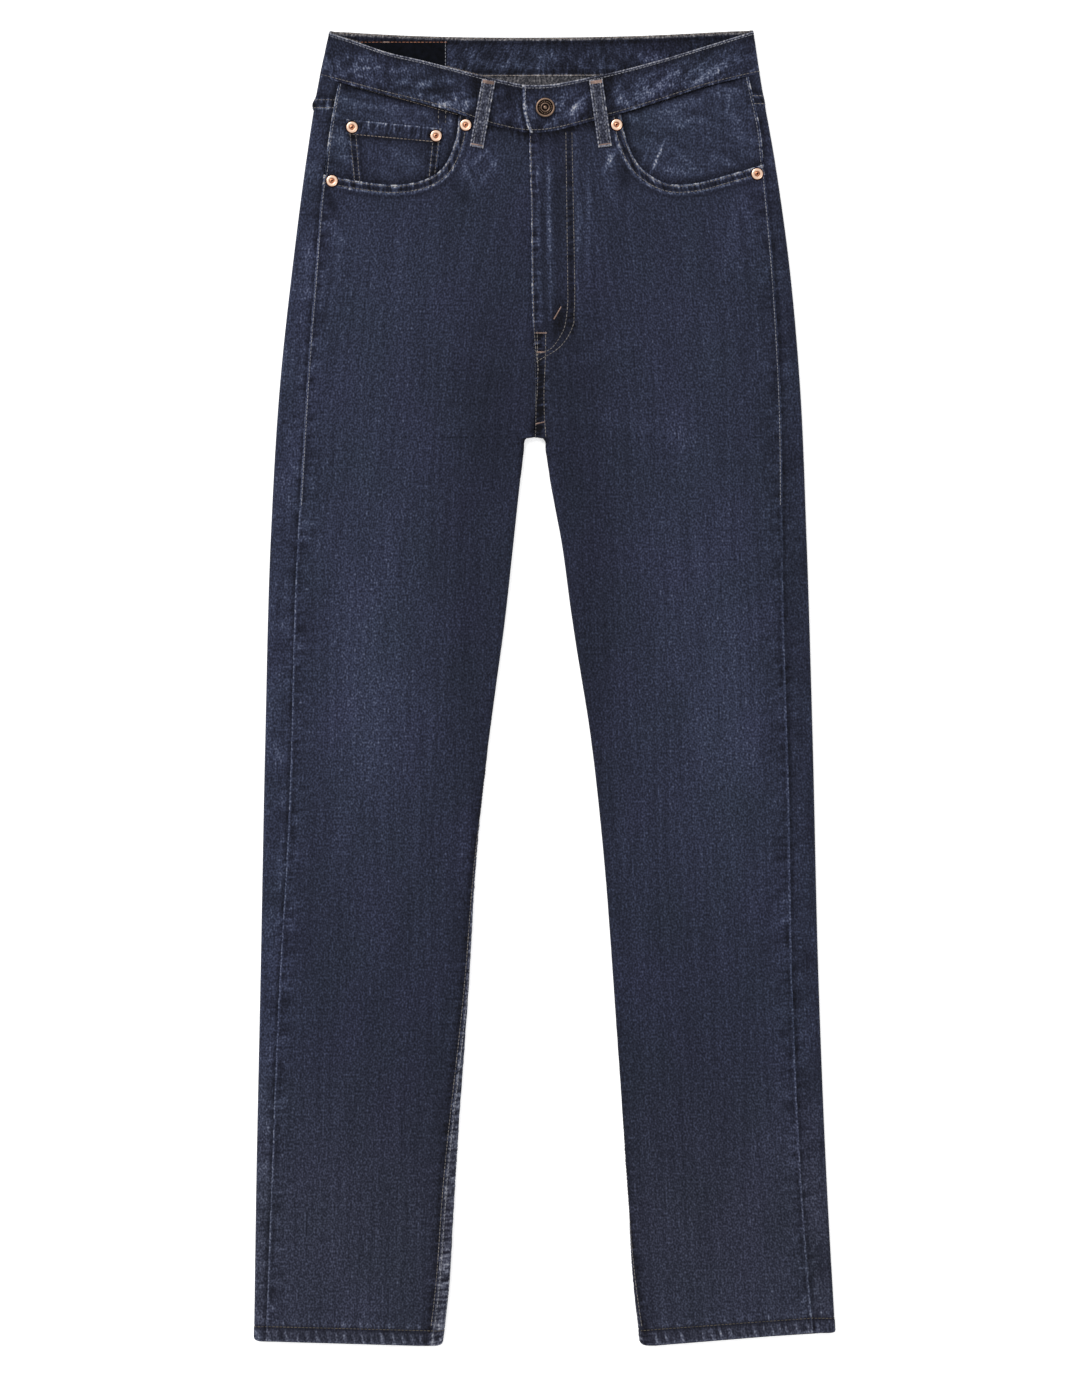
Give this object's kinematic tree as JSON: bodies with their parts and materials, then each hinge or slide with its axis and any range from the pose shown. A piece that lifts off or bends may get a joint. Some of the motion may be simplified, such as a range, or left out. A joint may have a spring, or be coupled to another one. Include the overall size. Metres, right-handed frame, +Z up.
{
  "type": "straight leg jeans",
  "caption": "Straight leg jeans in dark indigo denim, laid flat with the front up: waistband, fly, scoop front pockets, coin pocket, yoke, back pockets, belt loops and hemmed legs.",
  "frame": {"origin": "middle of the garment's outline as it lies, on the surface that it rests on", "axes": "+Y from the hems to the waist, +Z up out of the front of the garment, +X towards the wearer's left side"},
  "size_m": [0.4772, 1.0798, 0.0132],
  "materials": {
    "denim": "dark indigo washed denim with grey-tan topstitching",
    "label": "plain dark woven label",
    "zip": "dark cotton tape with metal chain, hidden behind the flap",
    "copper": "satin copper",
    "antique_brass": "antique copper, worn on its raised rings"
  },
  "bodies": {
    "root": {"front_right": "denim", "front_left": "denim", "back_right": "denim", "back_left": "denim", "yoke_right": "denim", "yoke_left": "denim", "waistband": "denim", "pocket_facing_right": "denim", "pocket_facing_left": "denim", "coin_pocket": "denim", "back_pocket_right": "denim", "back_pocket_left": "denim", "belt_loop_front_right": "denim", "belt_loop_front_left": "denim", "belt_loop_back_right": "denim", "belt_loop_back_centre": "denim", "belt_loop_back_left": "denim", "zip": "zip", "button": "antique_brass", "rivet_coin_outer": "copper", "rivet_coin_inner": "copper", "rivet_pocket_right_waist": "copper", "rivet_pocket_right_side": "copper", "rivet_pocket_left_waist": "copper", "rivet_pocket_left_side": "copper", "inner_label": "label"}
  },
  "joints": []
}
